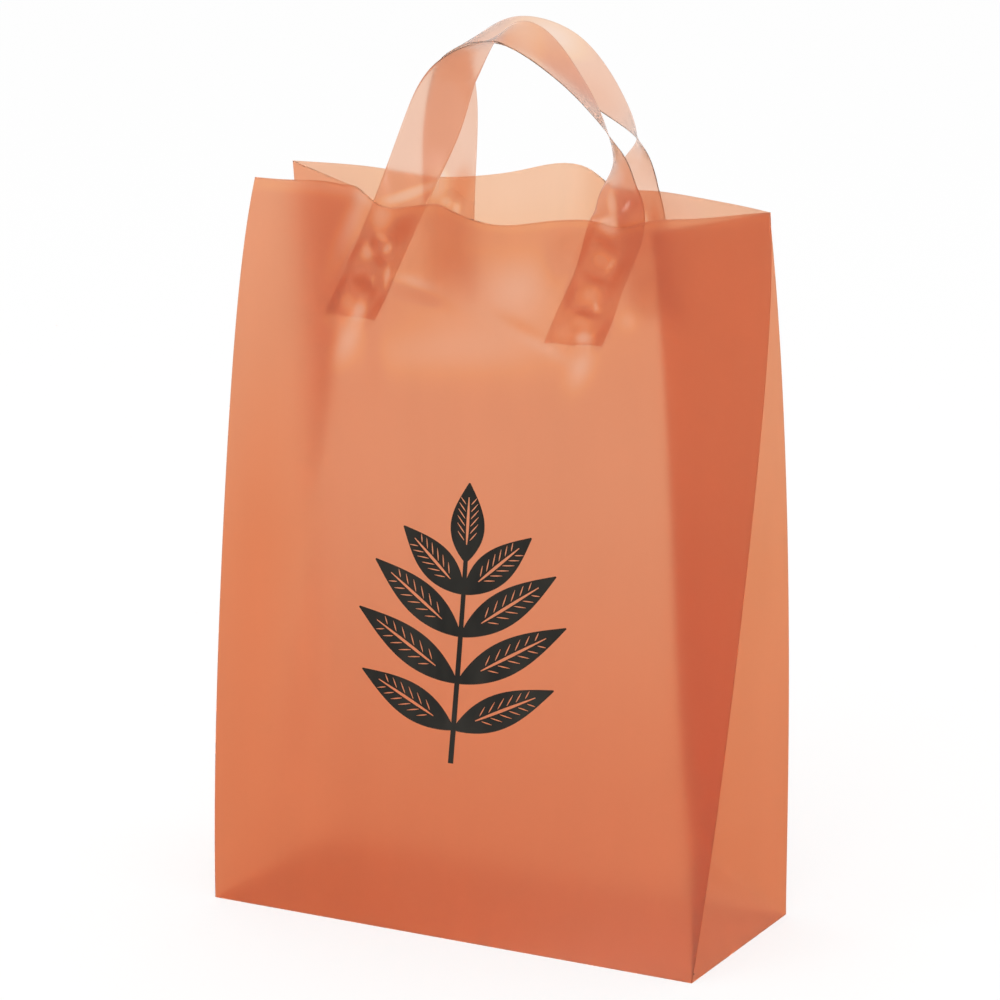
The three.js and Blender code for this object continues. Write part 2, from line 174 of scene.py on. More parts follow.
def stack(plan, rows, start):
    """Heights of rows of film that doesn't stretch: what moves sideways rises less."""
    run = np.linalg.norm(np.diff(plan, axis=0), axis=-1)
    film = np.diff(rows).reshape((-1,) + (1,) * (plan.ndim - 2))
    rise = np.sqrt(np.maximum(film**2 - run**2, LEAST_RISE * film**2))
    z = start + np.concatenate([np.zeros_like(rise[:1]), np.cumsum(rise, axis=0)])
    return np.concatenate([plan, z[..., None]], -1)


# Distances from a fold at which the film has rows or columns, and their steps elsewhere
BY_FOLD = (0.0, 0.5, 1.3, 2.8)
PANEL_STEP, GUSSET_STEP, WELD_STEP = 4.4, 4.2, 2.0


def fine_near(length, step):
    """Distances from 0 to a length, close together at both ends, where the film folds."""
    near = BY_FOLD[-1]
    inner = np.linspace(near, length - near, int(round((length - 2 * near) / step)) + 1)
    return np.concatenate([BY_FOLD[:-1], inner, length - np.array(BY_FOLD[-2::-1])])


# The film's columns across a panel, and across half a gusset, with more of them at the welds' puckers
WELD_ZONES = ((56.0, 132.0), (188.0, 256.0))
ACROSS = fine_near(PANEL_WIDTH, PANEL_STEP)
for left, right in WELD_ZONES:
    kept = ACROSS[(ACROSS < left) | (ACROSS > right)]
    ACROSS = np.sort(np.concatenate([kept, np.arange(left + WELD_STEP / 2, right, WELD_STEP)]))
FOLD = fine_near(GUSSET_DEPTH, GUSSET_STEP)
# The apex of a gusset's triangle, as the number of its row and of its column in the gusset
APEX = len(FOLD) - 1
# The film's rows from the base up, with more of them near the rim
RIM_ZONE = 96.0
LOWER_ROWS, UPPER_ROWS = 53, 48
LOWER = np.linspace(GUSSET_DEPTH, PANEL_HEIGHT - RIM_ZONE, LOWER_ROWS + 1)
UPPER = np.linspace(PANEL_HEIGHT - RIM_ZONE, PANEL_HEIGHT, UPPER_ROWS + 1)
ROWS = np.concatenate([FOLD, LOWER[1:], UPPER[1:]])
ROW_SHARES = ROWS / PANEL_HEIGHT


def panel(name):
    """Grid of panel points [row, column], from the left fold to the right one."""
    t, u = np.meshgrid(ROW_SHARES, ACROSS / PANEL_WIDTH, indexing="ij")
    grid = stack(panel_plan(name, t, u), ROWS, 0.0)
    return relief(name, grid)


def outward(grid, name):
    """Unit normals of a panel's grid, away from the inside of the bag."""
    along = np.gradient(grid, axis=1)
    up = np.gradient(grid, axis=0)
    normal = np.cross(along, up)
    normal /= np.linalg.norm(normal, axis=-1, keepdims=True)
    return normal * (1.0 if name == "front" else -1.0)


# Waves of the slack rims: place from the left fold, half width, lift of the edge, push outward
RIM_WAVES = {
    "front": (
        (50, 26, 2.4, -3.0), (74, 9, 2.2, 0.0), (98, 17, -3.6, 4.0), (130, 9, 1.2, -1.0),
        (168, 27, -3.4, 4.0), (236, 12, -4.4, 1.0), (275, 24, -1.8, 1.5),
    ),
    "back": (
        (92, 34, -3.6, -2.0), (164, 20, 4.2, 12.0), (208, 18, -2.0, -4.0), (270, 24, -0.8, 1.0),
    ),
}
# How far below the rim the waves' lift and their push reach
LIFT_REACH, PUSH_REACH = 46.0, 73.6
# The relief starts from a panel's folds, which stay where they are, as a sine to this power
START_POWER = 0.3


def relief(name, grid):
    """Adds what the film does round its rim and its welds to a panel's grid."""
    u, v = np.meshgrid(ACROSS, ROWS, indexing="xy")
    normal = outward(grid, name)
    start = np.sin(np.pi * np.clip(u / PANEL_WIDTH, 0, 1)) ** START_POWER
    depth = PANEL_HEIGHT - v
    lift = np.zeros_like(u)
    push = np.zeros_like(u)
    for place, width, up, out in RIM_WAVES[name]:
        wave = bell(u, place, width)
        lift += up * wave * np.exp(-depth / LIFT_REACH)
        push += out * wave * bell(depth, 0, PUSH_REACH)
    push += puckers(name, u, v)
    grid = grid + normal * (push * start)[..., None]
    grid[..., 2] += lift * start
    return grid


def weld_place(weld, u, v):
    """Film coordinates turned to a weld: across it from its middle, and up from its foot."""
    slant = math.atan2(weld["rim"] - weld["foot"], weld["height"])
    du, dv = u - weld["foot"], v - (PANEL_HEIGHT - weld["height"])
    across = du * math.cos(slant) - dv * math.sin(slant)
    along = du * math.sin(slant) + dv * math.cos(slant)
    return across, along


# Pressed rings of a weld: across from its middle, up from its foot, radius
WELD_SPOTS = (
    ((2.0, 54.0, 8.0), (-4.0, 34.0, 8.5), (1.0, 20.0, 7.5)),
    ((-2.5, 56.0, 8.0), (-1.0, 33.0, 8.5), (0.0, 15.0, 7.0)),
)
# A ring's height and half width, the depth and half width of its middle, and its length against its width
RING_HEIGHT, RING_WIDTH = 1.0, 2.2
DIP_DEPTH, DIP_WIDTH = 0.8, 3.0
RING_LENGTH = 1.25
# Folds round a weld: across from its middle, up from its foot, half width, half length and height,
# then the turn of its ripples in radians for each mm across and up, and where they start
WELD_FOLDS = (
    (0.0, -3.0, 17.0, 7.0, 1.3, 0.34, 0.0, 0.0),
    (4.0, -26.0, 20.0, 18.0, 1.2, 0.22, 0.0, 0.6),
    (-22.0, 40.0, 6.0, 26.0, 1.1, 0.0, 0.19, -1.0),
    (22.0, 40.0, 6.0, 26.0, 1.1, 0.0, 0.19, 1.0),
)


def puckers(name, u, v):
    """The film drawn up round a weld: pressed rings, and folds at its foot, below it and at its sides."""
    push = np.zeros_like(u)
    for weld, spots in zip(WELDS[name], WELD_SPOTS):
        across, along = weld_place(weld, u, v)
        for x, y, radius in spots:
            away = np.hypot(across - x, (along - y) / RING_LENGTH)
            push += RING_HEIGHT * bell(away, radius, RING_WIDTH)
            push -= DIP_DEPTH * bell(away, 0, DIP_WIDTH)
        for x, y, wide, long, height, turn_x, turn_y, start in WELD_FOLDS:
            patch = bell(across, x, wide) * bell(along, y, long)
            push += height * patch * np.cos(across * turn_x + along * turn_y + start)
    return push


# Tone of the film: 1 where it shows a pale painted sheen, -1 where a weld has fused it dense and dark,
# and also for painted shade.
# Each mark of a weld: across from its middle, up from its foot, half width, half length, turn, tone; its
# pale marks are painted sheen, and its dark ones fused film
WELD_FUSING_AND_SHEEN = (
    (
        (8.0, 68.0, 5.5, 11.0, 8.0, -0.9), (4.5, 54.0, 2.2, 5.0, 12.0, 0.9),
        (-1.5, 58.0, 4.0, 3.0, 0.0, 0.6), (-7.0, 68.0, 6.0, 9.0, 20.0, 0.7),
        (-4.5, 50.0, 3.2, 5.0, -10.0, -0.9), (3.0, 44.0, 4.0, 5.0, -35.0, -0.9),
        (-6.0, 42.0, 4.0, 6.5, 12.0, 0.9), (-13.5, 36.0, 2.0, 11.0, 10.0, -0.9),
        (0.0, 23.0, 8.5, 6.5, 0.0, -1.0), (11.0, 36.0, 1.6, 8.0, -14.0, 1.0),
        (4.5, 28.0, 1.4, 4.0, -30.0, 0.8), (13.0, 13.0, 2.8, 13.0, 6.0, -0.9),
        (-13.0, 15.0, 2.4, 8.0, 14.0, -0.8), (-5.0, 7.0, 5.0, 5.0, 0.0, 0.55),
        (4.0, 6.0, 4.0, 7.0, 0.0, 1.0), (8.0, 20.0, 2.0, 6.0, 0.0, -0.6),
        (3.5, 88.0, 17.0, 3.2, -37.0, 1.0),
    ),
    (
        (-5.0, 80.0, 5.5, 5.0, 18.0, 1.0), (-4.0, 92.0, 3.6, 8.0, -12.0, 0.9),
        (-13.5, 60.0, 2.4, 16.0, 4.0, -0.9), (-2.5, 57.0, 5.0, 5.0, 0.0, 0.35),
        (3.0, 57.0, 1.1, 6.0, 8.0, 0.7), (9.0, 52.0, 3.2, 16.0, 4.0, -0.8),
        (-3.0, 68.0, 7.0, 3.2, 12.0, -0.8), (-1.5, 44.0, 8.0, 3.0, 0.0, -0.8),
        (-1.0, 33.0, 5.0, 5.0, 0.0, 0.45), (4.5, 27.0, 1.3, 3.6, -30.0, 1.0),
        (-12.0, 30.0, 2.8, 10.0, -4.0, -0.8), (0.0, 22.0, 8.0, 2.8, 0.0, -0.7),
        (0.0, 14.5, 5.5, 3.6, 0.0, 0.3), (4.5, 6.0, 4.5, 4.5, -20.0, 1.0),
        (-7.0, 6.0, 5.0, 5.0, 0.0, 0.25), (13.0, 12.0, 2.6, 11.0, 4.0, -0.7),
    ),
)
# The same on the panel round a weld, where the film sags into soft folds: painted shade along the folds,
# and painted sheen beside and below them
FOLD_SHADE_AND_SHEEN = (
    (
        (5.0, -13.0, 6.5, 17.0, 0.0, 0.6), (-9.0, -8.0, 8.0, 6.0, 0.0, 0.3),
        (27.0, 41.0, 13.0, 3.5, -6.0, 0.4), (32.0, 34.0, 17.0, 4.0, -6.0, -0.4),
        (-23.0, 50.0, 6.0, 34.0, 0.0, 0.55), (24.0, -14.0, 6.0, 20.0, -25.0, -0.2),
    ),
    (
        (9.0, -12.0, 6.0, 13.0, 0.0, 0.55), (-14.0, -8.0, 16.0, 4.0, 8.0, 0.3),
        (-24.0, 52.0, 8.0, 20.0, 0.0, -0.3), (-30.0, -1.0, 15.0, 4.0, 10.0, -0.3),
        (22.0, 28.0, 5.0, 7.0, 0.0, 0.3), (-38.0, 24.0, 16.0, 22.0, 20.0, 0.35),
    ),
)
# The back strap has a weld's marks only up to this height over its foot
WELD_TOP = 79.0
# How much of a strap's marks shows on the panel that it is welded to
PANEL_SHARE = 0.5
# Bands round a strap's loop: the same, but up and half length are in hundredths of the loop; the pale
# bands are painted sheen, and the others make the film darker
LOOP_SHEEN_AND_BANDS = {
    "front": (
        (0.0, 31.0, 30.0, 6.0, 0.0, -0.35), (0.0, 45.0, 30.0, 4.0, 12.0, 0.45),
        (0.0, 64.0, 30.0, 9.0, 0.0, -0.45), (0.0, 92.0, 30.0, 9.0, 0.0, -0.35),
        (0.0, 10.0, 30.0, 10.0, 0.0, -0.15),
    ),
    "back": (
        (6.0, 47.0, 12.0, 7.0, 10.0, 0.5), (-6.0, 62.0, 14.0, 8.0, 0.0, -0.4),
        (0.0, 30.0, 30.0, 5.0, 0.0, -0.3), (0.0, 82.0, 30.0, 8.0, 0.0, -0.25),
    ),
}
# Broad patches of a panel: place across and up, half width, half height, turn, tone. The pale ones are
# painted sheen, with painted highlights along the rims, and the dark ones are painted shade
PANEL_SHEEN_AND_SHADE = {
    "front": (
        (158.0, 372.0, 46.0, 34.0, 0.0, 0.35), (128.0, 338.0, 66.0, 14.0, -8.0, 0.3),
        (52.0, 423.0, 60.0, 4.0, 0.0, 0.35), (210.0, 424.0, 70.0, 3.0, 0.0, 0.2),
        (60.0, 330.0, 26.0, 60.0, 0.0, -0.1), (20.0, 230.0, 26.0, 130.0, 0.0, -0.65),
    ),
    "back": ((140.0, 420.0, 110.0, 34.0, 0.0, 0.22), (224.0, 406.0, 22.0, 20.0, 0.0, -0.7)),
}
# The gussets' film is painted lighter than the panels', and more so at its top and bottom: painted light
# that lifts the shade in the gussets' deep folds
GUSSET_PAINTED_LIFT, GUSSET_ENDS_PAINTED_LIFT = 0.15, 0.26
# How sharply a mark ends: 1 fades like a bell, more keeps an edge
CRISP, SOFT = 1.8, 1.0


def marked(marks, x, y, edge):
    """The sum of oval marks at places of the film."""
    tone = np.zeros_like(x)
    for at_x, at_y, wide, long, turn, amount in marks:
        c, k = math.cos(math.radians(turn)), math.sin(math.radians(turn))
        dx, dy = x - at_x, y - at_y
        reach = ((dx * c - dy * k) / wide) ** 2 + ((dx * k + dy * c) / long) ** 2
        tone += amount * np.exp(-(reach**edge))
    return tone


def panel_tone(name):
    """The tone of a panel's film at its grid points: painted sheen and shade, and round the front's welds
    part of the welds' fused film and painted sheen, with the painted shade and sheen of the folds.
    """
    u, v = np.meshgrid(ACROSS, ROWS, indexing="xy")
    tone = marked(PANEL_SHEEN_AND_SHADE[name], u, v, SOFT)
    if name == "front":
        for weld, marks, folds in zip(WELDS[name], WELD_FUSING_AND_SHEEN, FOLD_SHADE_AND_SHEEN):
            across, along = weld_place(weld, u, v)
            tone += PANEL_SHARE * marked(marks, across, along, CRISP)
            tone += marked(folds, across, along, SOFT)
    return np.clip(tone, -1, 1)


def crease(front, back, front_next, back_next, sag):
    """The inward crease of a gusset from its apex to the rim."""
    a, b = front[APEX:, :2], back[APEX:, :2]
    gap = np.linalg.norm(b - a, axis=-1, keepdims=True)

    def unit(w):
        return w / np.linalg.norm(w, axis=-1, keepdims=True)

    between = unit(unit(front_next[APEX:, :2] - a) + unit(back_next[APEX:, :2] - b))
    across = unit(np.stack([b[:, 1] - a[:, 1], a[:, 0] - b[:, 0]], -1))
    across *= np.sign((across * between).sum(-1, keepdims=True))
    share = gap / (gap + CLOSED_GAP)
    inward = unit(between * (1 - share) + across * share)
    depth = np.sqrt(np.maximum(GUSSET_DEPTH**2 - (gap / 2) ** 2, LEAST_DEPTH**2))
    apex_gap = np.linalg.norm(back[APEX] - front[APEX])
    line = stack((a + b) / 2 + inward * depth, ROWS[APEX:], apex_gap / 2)
    line[:, 2] -= sag * np.linspace(0, 1, len(line)) ** 2
    return line


def gusset(front, back, front_next, back_next, sag):
    """Grid of gusset points [row, column], from the front fold over the crease to the back."""
    line = crease(front, back, front_next, back_next, sag)
    middle = (front[0] + back[0]) / 2
    rise = line[0] - middle
    share = FOLD / GUSSET_DEPTH

    def half(fold):
        grid = np.zeros((len(ROWS), APEX + 1, 3))
        for j in range(len(ROWS)):
            for k in range(APEX + 1):
                if j >= APEX:
                    grid[j, k] = fold[j] + (line[j - APEX] - fold[j]) * share[k]
                elif k > j:
                    grid[j, k] = fold[0] + (middle - fold[0]) * share[k] + rise * share[j]
                else:
                    on_crease = fold[0] + (line[0] - fold[0]) * share[j]
                    way = FOLD[k] / FOLD[j] if j else 0.0
                    grid[j, k] = fold[j] + (on_crease - fold[j]) * way
        return grid

    return np.concatenate([half(front), half(back)[:, APEX - 1 :: -1]], axis=1)


PANELS = {name: panel(name) for name in SIDE}


def tube():
    """The tube's closed rows, anticlockwise from above: front, right gusset, back, left gusset."""
    front, back = PANELS["front"], PANELS["back"]
    inner = -1 - BESIDE
    right = gusset(front[:, -1], back[:, -1], front[:, inner], back[:, inner], RIGHT_SAG)
    left = gusset(front[:, 0], back[:, 0], front[:, BESIDE], back[:, BESIDE], LEFT_SAG)
    return np.concatenate([front, right[:, 1:-1], back[:, ::-1], left[:, -2:0:-1]], axis=1)


def vertex_normals(points, quads):
    """Unit normals from the faces round each point."""
    p = points[quads]
    face = np.cross(p[:, 2] - p[:, 0], p[:, 3] - p[:, 1])
    normal = np.zeros_like(points)
    for k in range(4):
        np.add.at(normal, quads[:, k], face)
    return normal / np.maximum(np.linalg.norm(normal, axis=-1, keepdims=True), TINY)


def ring_quads(rows, count):
    """The quads between closed rows of points."""
    j, i = np.meshgrid(np.arange(rows - 1), np.arange(count), indexing="ij")
    a, b = j * count + i, j * count + (i + 1) % count
    return np.stack([a, b, b + count, a + count], -1).reshape(-1, 4)


def base_grid():
    """The base's inner points, and its quads, which count those points from -1 down."""
    n, side = len(ACROSS), 2 * APEX
    count = 2 * n + 2 * (side - 1)

    def edge(i, k):
        """The row-0 point at column i and depth k from the front, or None inside."""
        if k == 0:
            return i
        if k == side:
            return n + (side - 1) + (n - 1 - i)
        if i == n - 1:
            return n + k - 1
        if i == 0:
            return count - k
        return None

    depths = np.concatenate([FOLD, GUSSET_WIDTH - FOLD[-2::-1]])
    extra, index = [], {}
    for i in range(n):
        for k in range(side + 1):
            at = edge(i, k)
            if at is None:
                at = -len(extra) - 1
                extra.append((ACROSS[i] - PANEL_WIDTH / 2, depths[k] - GUSSET_DEPTH, 0.0))
            index[i, k] = at
    quads = [
        (index[i, k], index[i, k + 1], index[i + 1, k + 1], index[i + 1, k])
        for i in range(n - 1)
        for k in range(side)
    ]
    return np.array(extra), quads


def new_mesh(name, points, faces, material, smooth=True, tones=None):
    """A mesh object from points in mm, with the film's tone at each point where it is given."""
    mesh = bpy.data.meshes.new(name)
    mesh.from_pydata((np.asarray(points) * MM).tolist(), [], [list(map(int, f)) for f in faces])
    if tones is not None:
        mesh.attributes.new("tone", "FLOAT", "POINT").data.foreach_set("value", tones)
    mesh.polygons.foreach_set("use_smooth", [smooth] * len(mesh.polygons))
    mesh.materials.append(material)
    piece = bpy.data.objects.new(name, mesh)
    bpy.context.scene.collection.objects.link(piece)
    return piece


def tube_tone(count):
    """The tone of the film at the points of the tube's rows."""
    # Painted light: the gussets are made paler, more so at their top and bottom, to lift the shade in
    # their folds
    ends = GUSSET_PAINTED_LIFT + GUSSET_ENDS_PAINTED_LIFT * np.abs(2 * ROW_SHARES - 1)
    tones = np.repeat(ends[:, None], count, axis=1)
    columns = len(ACROSS)
    tones[:, :columns] = panel_tone("front")
    back_start = columns + 2 * APEX - 1
    tones[:, back_start : back_start + columns] = panel_tone("back")[:, ::-1]
    return tones


def body_film(material):
    """The bag's wall as a closed skin of film, open at the mouth."""
    rows = tube()
    count = rows.shape[1]
    outer = rows.reshape(-1, 3)
    quads = ring_quads(len(rows), count)
    extra, base = base_grid()
    first_extra = len(outer)
    base = np.array([[q if q >= 0 else first_extra - q - 1 for q in quad] for quad in base])
    outer = np.concatenate([outer, extra])
    all_quads = np.concatenate([quads, base])
    top = (len(rows) - 1) * count
    film = np.full((len(outer), 1), FILM)
    film[top : top + count] *= EDGE_SHARE
    inner = outer - film * vertex_normals(outer, all_quads)
    lifted = inner[:, 2] < FILM
    inner[lifted, 2] = FILM
    i = np.arange(count)
    rim = np.stack([top + i, top + (i + 1) % count], -1)
    rim = np.concatenate([rim, rim[:, ::-1] + len(outer)], -1)
    faces = np.concatenate([all_quads, all_quads[:, ::-1] + len(outer), rim])
    tones = np.concatenate([tube_tone(count).ravel(), np.zeros(len(extra))])
    tones = np.concatenate([tones, tones])
    piece = new_mesh("bag_film", np.concatenate([outer, inner]), faces, material, tones=tones)
    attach(piece, "root")
    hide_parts("bag_body")


def on_panel(name, u, v, off):
    """Points of a panel at film places, moved outward off the film by a distance."""
    grid = PANELS[name]
    normal = outward(grid, name)

    def sample(field, row, column, f, g):
        low = field[row, column] * (1 - f) + field[row, column + 1] * f
        high = field[row + 1, column] * (1 - f) + field[row + 1, column + 1] * f
        return low * (1 - g) + high * g

    u, v = np.broadcast_arrays(np.asarray(u, float), np.asarray(v, float))
    column = np.clip(np.searchsorted(ACROSS, u) - 1, 0, len(ACROSS) - 2)
    row = np.clip(np.searchsorted(ROWS, v) - 1, 0, len(ROWS) - 2)
    f = ((u - ACROSS[column]) / (ACROSS[column + 1] - ACROSS[column]))[..., None]
    g = ((v - ROWS[row]) / (ROWS[row + 1] - ROWS[row]))[..., None]
    return sample(grid, row, column, f, g) + off * sample(normal, row, column, f, g)


def weld_rows(name, weld):
    """Rows of points across a strap at its weld, on the panel's inner face, foot first."""
    slant = math.atan2(weld["rim"] - weld["foot"], weld["height"])
    run = math.hypot(weld["height"], weld["rim"] - weld["foot"])
    s = np.linspace(0, run, WELD_ROWS)[:, None]
    w = (STRAP_WIDTH * np.linspace(-0.5, 0.5, STRAP_COLUMNS + 1))[None]
    w = w * (1 - weld["waist"] * bell(s / run, WAIST_PLACE, WAIST_REACH))
    tilt = slant * np.clip(s / (FOOT_SHARE * run), 0, 1)
    along = weld["foot"] + s * math.sin(slant) + w * np.cos(tilt)
    up = PANEL_HEIGHT - weld["height"] + s * math.cos(slant) - w * np.sin(tilt)
    return on_panel(name, along, up, -(FILM + WELD_GAP))


def catmull(points, t, centripetal=True):
    """A point of the Catmull-Rom curve through the points, at the share t of its stretches."""
    points = np.asarray(points, float)
    last = len(points) - 1
    place = min(max(t, 0.0), 1.0) * last
    i = min(int(place), last - 1)
    w = place - i
    p1, p2 = points[i], points[i + 1]
    p0 = points[i - 1] if i > 0 else 2 * p1 - p2
    p3 = points[i + 2] if i + 2 <= last else 2 * p2 - p1
    if centripetal:
        legs = (p1 - p0, p2 - p1, p3 - p2)
        d0, d1, d2 = (max(np.dot(leg, leg) ** 0.25, LEAST_LEG) for leg in legs)
        m1 = ((p1 - p0) / d0 - (p2 - p0) / (d0 + d1) + (p2 - p1) / d1) * d1
        m2 = ((p2 - p1) / d1 - (p3 - p1) / (d1 + d2) + (p3 - p2) / d2) * d1
    else:
        m1, m2 = (p2 - p0) / 2, (p3 - p1) / 2
    a = 2 * p1 - 2 * p2 + m1 + m2
    b = -3 * p1 + 3 * p2 - 2 * m1 - m2
    return ((a * w + b) * w + m1) * w + p1


def frame_of(tangent):
    """Outward in the loop's own plane, and towards the front, across a strap's tangent."""
    out = -np.cross([0.0, 1.0, 0.0], tangent)
    out /= np.linalg.norm(out)
    forward = np.cross(out, tangent)
    forward /= np.linalg.norm(forward)
    return out, (-forward if forward[1] > 0 else forward)


def strap_rows(name):
    """The middle surface of one handle, from the foot of its left weld to that of its right."""
    left, right = (weld_rows(name, weld) for weld in WELDS[name])
    right = right[:, ::-1]
    middle = STRAP_COLUMNS // 2
    root_left, root_right = left[-1, middle], right[-1, middle]
    path = [left[-1 - ROOT_ROWS, middle], root_left]
    for across, up, inward, _ in LOOPS[name]:
        p = root_left + (root_right - root_left) * across
        path.append(p + [0, -SIDE[name] * REACH[name] * inward, RISE[name] * up])
    path += [root_right, right[-1 - ROOT_ROWS, middle]]
    last = len(path) - 1

    def tangent(t):
        d = catmull(path, t + STEP) - catmull(path, t - STEP)
        return d / np.linalg.norm(d)

    def turn_of(row, t):
        out, forward = frame_of(tangent(t))
        width = row[0] - row[-1]
        return math.atan2(width @ forward, width @ out)

    turns = [turn_of(left[-1], 1 / last)]
    turns += [math.radians(stop[3]) for stop in LOOPS[name]]
    turns.append(turn_of(right[-1], (last - 1) / last))
    turns = np.array(turns)[:, None]
    width = STRAP_WIDTH * np.linspace(0.5, -0.5, STRAP_COLUMNS + 1)[:, None]

    def row_at(s):
        t = (1 + s * (last - 2)) / last
        turn = catmull(turns, s, centripetal=False)[0]
        out, forward = frame_of(tangent(t))
        across = out * math.cos(turn) + forward * math.sin(turn)
        return catmull(path, t) + width * across

    off_left, off_right = left[-1] - row_at(0.0), right[-1] - row_at(1.0)
    rows = []
    for s in np.arange(1, LOOP_ROWS) / LOOP_ROWS:
        settled = off_left * bell(s, 0, SETTLE) + off_right * bell(s, 1, SETTLE)
        rows.append(row_at(s) + settled)
    return smoothed(np.concatenate([left, np.array(rows), right[::-1]]))


def smoothed(rows):
    """Evens out a strap round the rim, where its edges turn most."""
    place = np.arange(len(rows))
    roots = (WELD_ROWS - 1, len(rows) - WELD_ROWS)
    loose = sum(bell(place, root, SMOOTH_ROWS) ** 2 for root in roots)[1:-1, None, None] / 2
    for _ in range(SMOOTH_STEPS):
        rows[1:-1] += loose * ((rows[:-2] + rows[2:]) / 2 - rows[1:-1])
    return rows


def strap_tone(name, grid):
    """The tone of a strap's film: the fused film and painted sheen of its two welds, and soft bands round
    its loop, the pale ones painted sheen.
    """
    middle = grid[:, STRAP_COLUMNS // 2]
    across = STRAP_WIDTH * np.linspace(-0.5, 0.5, STRAP_COLUMNS + 1)[None]
    share = 100 * (np.arange(len(grid)) - WELD_ROWS) / LOOP_ROWS
    tone = marked(LOOP_SHEEN_AND_BANDS[name], *np.broadcast_arrays(across, share[:, None]), SOFT)
    for marks, order, sign in zip(WELD_FUSING_AND_SHEEN, (slice(None), slice(None, None, -1)), (1, -1)):
        if name == "back":
            marks = [mark for mark in marks if mark[1] < WELD_TOP]
        run = np.linalg.norm(np.diff(middle[order], axis=0), axis=-1)
        along = np.concatenate([[0], np.cumsum(run)])[:, None]
        place = np.broadcast_arrays(sign * across, along)
        tone[order] += marked(marks, *place, CRISP)
    return np.clip(tone, -1, 1).ravel()


def strap(name, material):
    """A handle: the strap's middle surface thickened to both sides."""
    grid = strap_rows(name)
    long, wide = grid.shape[:2]
    normal = np.cross(np.gradient(grid, axis=0), np.gradient(grid, axis=1))
    normal /= np.linalg.norm(normal, axis=-1, keepdims=True)
    half = np.full((1, wide, 1), STRAP_FILM / 2)
    half[:, [0, -1]] *= EDGE_SHARE
    upper = (grid + normal * half).reshape(-1, 3)
    lower = (grid - normal * half).reshape(-1, 3)
    under = len(upper)
    faces = []
    for s in range(long - 1):
        for c in range(wide - 1):
            a = s * wide + c
            faces.append((a, a + wide, a + wide + 1, a + 1))
            faces.append((under + a, under + a + 1, under + a + wide + 1, under + a + wide))
        a, b = s * wide, s * wide + wide - 1
        faces.append((a, under + a, under + a + wide, a + wide))
        faces.append((b, b + wide, under + b + wide, under + b))
    end = (long - 1) * wide
    for c in range(wide - 1):
        faces.append((c, c + 1, under + c + 1, under + c))
        faces.append((end + c, under + end + c, under + end + c + 1, end + c + 1))
    tones = strap_tone(name, grid)
    tones = np.concatenate([tones, tones])
    piece = new_mesh(name + "_strap", np.concatenate([upper, lower]), faces, material, tones=tones)
    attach(piece, "root")
    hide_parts(name + "_handle")


# The print: a leafy sprig on the outside of the front panel, as in the frame's solid.
# Its foot's place on the panel, then its stem and its leaves
PRINT_ACROSS, PRINT_FOOT = 146.0, 100.0
STEM_LENGTH, STEM_WIDTH = 122.0, 3.2
LEAF_LENGTH, LEAF_WIDTH, LEAF_TIP, LEAF_FULLNESS = 72.0, 19.0, 0.4, 0.85
# Each pair of leaves: its place on the stem, its share of the leaf's length, its angle from the stem
LEAF_PAIRS = ((0.16, 0.89, 63.0), (0.38, 1.0, 58.0), (0.6, 0.92, 53.0), (0.8, 0.72, 46.0))
TOP_LEAF_AT, TOP_LEAF_LENGTH = 0.95, 46.0
STEM_TAPER = 0.8
# The middle vein: its start and length in shares of the leaf, its width, its half width at the ends
VEIN_START, VEIN_SHARE, VEIN_WIDTH, VEIN_TIP = 0.22, 0.6, 1.2, 0.25
# The side veins: how many there are on a side, and the place of the first, in shares of their spacing
SIDE_VEINS, FIRST_VEIN = 6, 0.6
SIDE_VEIN_ANGLE, SIDE_VEIN_WIDTH, SIDE_VEIN_TIP = 38.0, 0.5, 0.1
# How far a side vein starts from the leaf's middle, and how much of the leaf's half width it runs
SIDE_VEIN_OFF, SIDE_VEIN_SHARE = 1.6, 0.78
LEAF_STEPS, VEIN_STEPS, SIDE_VEIN_STEPS = 48, 24, 8
# The ink's thickness, its distance from the film, and the spacing of its inner points
INK, INK_OFF, INK_GRID = 0.06, 0.07, 3.0
# Points of the ink closer than this are one
SAME_POINT = 1e-4


def blade(foot, length, angle, width, tip, steps):
    """A leaf's or a vein's outline: two curved sides from its foot to its tip."""
    share = np.linspace(0, 1, steps)
    w = width / 2 * np.sin(np.pi * share**LEAF_FULLNESS) + tip
    s = share * length
    side = np.concatenate([np.stack([w, s], -1), np.stack([-w, s], -1)[::-1]])
    c, k = math.cos(math.radians(angle)), math.sin(math.radians(angle))
    return np.array(foot) + side @ np.array([[c, -k], [k, c]])


def leaf(at, length, angle):
    """One leaf: its outline, and the veins that part its ink."""
    foot = np.array([0.0, at])
    c, k = math.cos(math.radians(angle)), math.sin(math.radians(angle))
    run = np.array([k, c])
    side = np.array([c, -k])
    start = foot + run * length * VEIN_START
    veins = [blade(start, length * VEIN_SHARE, angle, VEIN_WIDTH, VEIN_TIP, VEIN_STEPS)]
    for i in range(SIDE_VEINS):
        share = VEIN_START + VEIN_SHARE * (i + FIRST_VEIN) / (SIDE_VEINS + FIRST_VEIN)
        half = LEAF_WIDTH / 2 * math.sin(math.pi * share**LEAF_FULLNESS)
        for sign in (-1, 1):
            start = foot + run * length * share + side * sign * SIDE_VEIN_OFF
            turn = angle + sign * SIDE_VEIN_ANGLE
            size = (SIDE_VEIN_WIDTH, SIDE_VEIN_TIP, SIDE_VEIN_STEPS)
            veins.append(blade(start, half * SIDE_VEIN_SHARE, turn, *size))
    return blade(foot, length, angle, LEAF_WIDTH, LEAF_TIP, LEAF_STEPS), veins


